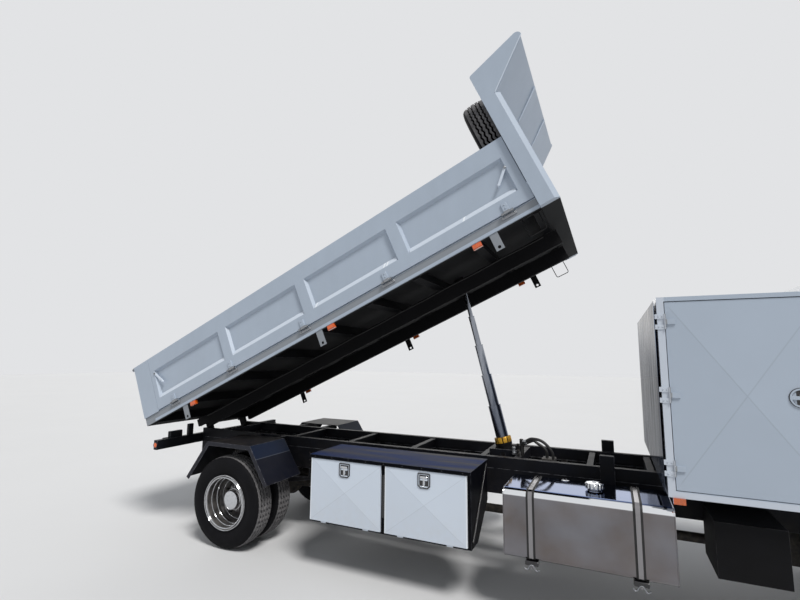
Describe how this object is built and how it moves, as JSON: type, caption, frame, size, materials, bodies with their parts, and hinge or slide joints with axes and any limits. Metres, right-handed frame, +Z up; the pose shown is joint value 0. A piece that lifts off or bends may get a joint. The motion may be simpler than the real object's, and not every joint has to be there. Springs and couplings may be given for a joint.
{
  "type": "dump truck",
  "caption": "Drop-side tipper truck with its bed raised on a telescopic hoist, black chassis, white toolbox doors and a polished fuel tank.",
  "frame": {"origin": "on the ground at the middle of the length and width", "axes": "+X ahead towards the cab, +Y to the left, +Z up"},
  "size_m": [9.2887, 2.8, 5.3133],
  "materials": {
    "body_white": "light grey-white gloss paint",
    "cab_white": "white gloss cab paint",
    "cast_grey": "painted casting",
    "chassis_black": "satin black chassis paint, lightly dusty",
    "door_white": "clean white gloss paint",
    "glass_clear": "clear laminated glass",
    "hoist_chrome": "hard chromed hoist stage",
    "hoist_paint": "black hoist barrel",
    "lamp_amber": "orange marker lens",
    "lamp_red": "lamp lens",
    "rim_polished": "polished alloy rim",
    "seat_fabric": "seat cloth",
    "tank_polished": "mirror polished tank",
    "trim_dark": "dark plastic",
    "tyre_black": "worn tyre rubber"
  },
  "bodies": {
    "chassis": {"frame_rails": "chassis_black", "frame_cross_members": "chassis_black", "subframe_rails": "chassis_black", "subframe_cross_members": "chassis_black", "rear_axle": "cast_grey", "front_axle": "cast_grey", "leaf_springs": "chassis_black", "drivetrain": "cast_grey", "rear_mudguards": "chassis_black", "toolboxes": "chassis_black", "fuel_tank": "tank_polished", "tank_straps": "chassis_black", "air_tanks": "chassis_black", "battery_box": "chassis_black", "canopy_shell": "body_white", "cab_mounts": "chassis_black", "front_bumper": "trim_dark", "cab_steps": "chassis_black", "lamps": "lamp_red"},
    "cab": {"cab_shell": "cab_white", "windscreen": "glass_clear", "cab_rear_window": "glass_clear", "seats": "seat_fabric", "dashboard": "trim_dark", "mirrors": "trim_dark", "grille": "trim_dark"},
    "cab_door_right": {"cab_door_right": "cab_white", "cab_door_glass_right": "glass_clear"},
    "cab_door_left": {"cab_door_left": "cab_white", "cab_door_glass_left": "glass_clear"},
    "bed": {"bed_underframe": "chassis_black", "bed_floor": "body_white", "headboard": "body_white", "spare_wheel": "tyre_black", "bed_lamps": "lamp_amber"},
    "drop_side_right": {"drop_side_right": "body_white"},
    "drop_side_left": {"drop_side_left": "body_white"},
    "tailgate": {"tailgate": "body_white"},
    "hoist_barrel": {"hoist_barrel": "hoist_paint"},
    "hoist_stage_1": {"hoist_stage_1": "hoist_chrome"},
    "hoist_stage_2": {"hoist_stage_2": "hoist_chrome"},
    "hoist_stage_3": {"hoist_stage_3": "hoist_chrome"},
    "hoist_stage_4": {"hoist_stage_4": "hoist_chrome"},
    "hoist_rod": {"hoist_rod": "hoist_chrome"},
    "toolbox_door_rear_right": {"toolbox_door_rear_right": "door_white"},
    "toolbox_door_front_right": {"toolbox_door_front_right": "door_white"},
    "toolbox_door_rear_left": {"toolbox_door_rear_left": "door_white"},
    "toolbox_door_front_left": {"toolbox_door_front_left": "door_white"},
    "canopy_door_right": {"canopy_door_right": "body_white"},
    "canopy_door_left": {"canopy_door_left": "body_white"},
    "steering_knuckle_right": {"steering_knuckle_right": "cast_grey"},
    "steering_knuckle_left": {"steering_knuckle_left": "cast_grey"},
    "front_wheel_right": {"front_tyre_right": "tyre_black", "front_rim_right": "rim_polished"},
    "front_wheel_left": {"front_tyre_left": "tyre_black", "front_rim_left": "rim_polished"},
    "rear_wheels_right": {"rear_tyres_right": "tyre_black", "rear_rims_right": "rim_polished"},
    "rear_wheels_left": {"rear_tyres_left": "tyre_black", "rear_rims_left": "rim_polished"}
  },
  "joints": [
    {"name": "bed_tip", "type": "hinge", "parent": "chassis", "child": "bed", "pos_m": [-4.05757, 0, 1.11], "axis": [0, -1, 0], "range_deg": [-24.3, 20.7]},
    {"name": "hoist_swing", "type": "hinge", "parent": "chassis", "child": "hoist_barrel", "pos_m": [0.15243, 0, 1.15], "axis": [0, -1, 0], "range_deg": [-12.2, 10.4]},
    {"name": "hoist_stage_1_slide", "type": "slide", "parent": "hoist_barrel", "child": "hoist_stage_1", "axis": [-0.2432, 0, 0.97], "range_m": [-0.34675, 0.29545]},
    {"name": "hoist_stage_2_slide", "type": "slide", "parent": "hoist_stage_1", "child": "hoist_stage_2", "axis": [-0.2432, 0, 0.97], "range_m": [-0.34675, 0.29545]},
    {"name": "hoist_stage_3_slide", "type": "slide", "parent": "hoist_stage_2", "child": "hoist_stage_3", "axis": [-0.2432, 0, 0.97], "range_m": [-0.34675, 0.29545]},
    {"name": "hoist_stage_4_slide", "type": "slide", "parent": "hoist_stage_3", "child": "hoist_stage_4", "axis": [-0.2432, 0, 0.97], "range_m": [-0.34675, 0.29545]},
    {"name": "hoist_rod_slide", "type": "slide", "parent": "hoist_stage_4", "child": "hoist_rod", "axis": [-0.2432, 0, 0.97], "range_m": [-0.34675, 0.29545]},
    {"name": "drop_side_right_hinge", "type": "hinge", "parent": "bed", "child": "drop_side_right", "pos_m": [-1.83277, -1.225, 2.50075], "axis": [0.9114, 0, 0.4115], "range_deg": [0, 178]},
    {"name": "drop_side_left_hinge", "type": "hinge", "parent": "bed", "child": "drop_side_left", "pos_m": [-1.83277, 1.225, 2.50075], "axis": [-0.9114, 0, -0.4115], "range_deg": [0, 178]},
    {"name": "tailgate_hinge", "type": "hinge", "parent": "bed", "child": "tailgate", "pos_m": [-4.62043, 0, 1.99696], "axis": [0, 1, 0], "range_deg": [0, 85]},
    {"name": "toolbox_door_rear_right_hinge", "type": "hinge", "parent": "chassis", "child": "toolbox_door_rear_right", "pos_m": [-1.23957, -1.191, 0.507], "axis": [1, 0, 0], "range_deg": [0, 95]},
    {"name": "toolbox_door_rear_left_hinge", "type": "hinge", "parent": "chassis", "child": "toolbox_door_rear_left", "pos_m": [-1.23957, 1.191, 0.507], "axis": [-1, 0, 0], "range_deg": [0, 95]},
    {"name": "toolbox_door_front_right_hinge", "type": "hinge", "parent": "chassis", "child": "toolbox_door_front_right", "pos_m": [-0.36607, -1.191, 0.507], "axis": [1, 0, 0], "range_deg": [0, 95]},
    {"name": "toolbox_door_front_left_hinge", "type": "hinge", "parent": "chassis", "child": "toolbox_door_front_left", "pos_m": [-0.36607, 1.191, 0.507], "axis": [-1, 0, 0], "range_deg": [0, 95]},
    {"name": "canopy_door_right_hinge", "type": "hinge", "parent": "chassis", "child": "canopy_door_right", "pos_m": [1.67993, -1.236, 1.924], "axis": [0, 0, -1], "range_deg": [0, 95]},
    {"name": "canopy_door_left_hinge", "type": "hinge", "parent": "chassis", "child": "canopy_door_left", "pos_m": [1.67993, 1.236, 1.924], "axis": [0, 0, 1], "range_deg": [0, 95]},
    {"name": "cab_tilt", "type": "hinge", "parent": "chassis", "child": "cab", "pos_m": [4.52243, 0, 0.88], "axis": [0, 1, 0], "range_deg": [0, 45]},
    {"name": "cab_door_right_hinge", "type": "hinge", "parent": "cab", "child": "cab_door_right", "pos_m": [4.36993, -1.158, 1.5], "axis": [0, 0, 1], "range_deg": [0, 70]},
    {"name": "cab_door_left_hinge", "type": "hinge", "parent": "cab", "child": "cab_door_left", "pos_m": [4.36993, 1.158, 1.5], "axis": [0, 0, -1], "range_deg": [0, 70]},
    {"name": "steering_right", "type": "hinge", "parent": "chassis", "child": "steering_knuckle_right", "pos_m": [3.34243, -0.8, 0.515], "axis": [0, 0, 1], "range_deg": [-35, 35]},
    {"name": "front_wheel_right_axle", "type": "hinge", "parent": "steering_knuckle_right", "child": "front_wheel_right", "pos_m": [3.34243, -1.02, 0.515], "axis": [0, 1, 0], "continuous": true},
    {"name": "rear_wheels_right_axle", "type": "hinge", "parent": "chassis", "child": "rear_wheels_right", "pos_m": [-2.85757, -0.9115, 0.515], "axis": [0, 1, 0], "continuous": true},
    {"name": "steering_left", "type": "hinge", "parent": "chassis", "child": "steering_knuckle_left", "pos_m": [3.34243, 0.8, 0.515], "axis": [0, 0, 1], "range_deg": [-35, 35]},
    {"name": "front_wheel_left_axle", "type": "hinge", "parent": "steering_knuckle_left", "child": "front_wheel_left", "pos_m": [3.34243, 1.02, 0.515], "axis": [0, 1, 0], "continuous": true},
    {"name": "rear_wheels_left_axle", "type": "hinge", "parent": "chassis", "child": "rear_wheels_left", "pos_m": [-2.85757, 0.9115, 0.515], "axis": [0, 1, 0], "continuous": true}
  ],
  "couplings": [
    {"joint": "hoist_swing", "follows": "bed_tip", "ratio": 0.5},
    {"joint": "hoist_stage_1_slide", "follows": "bed_tip", "m_per_rad": 0.8164},
    {"joint": "hoist_stage_2_slide", "follows": "bed_tip", "m_per_rad": 0.8164},
    {"joint": "hoist_stage_3_slide", "follows": "bed_tip", "m_per_rad": 0.8164},
    {"joint": "hoist_stage_4_slide", "follows": "bed_tip", "m_per_rad": 0.8164},
    {"joint": "hoist_rod_slide", "follows": "bed_tip", "m_per_rad": 0.8164},
    {"joint": "steering_left", "follows": "steering_right", "ratio": 1}
  ]
}
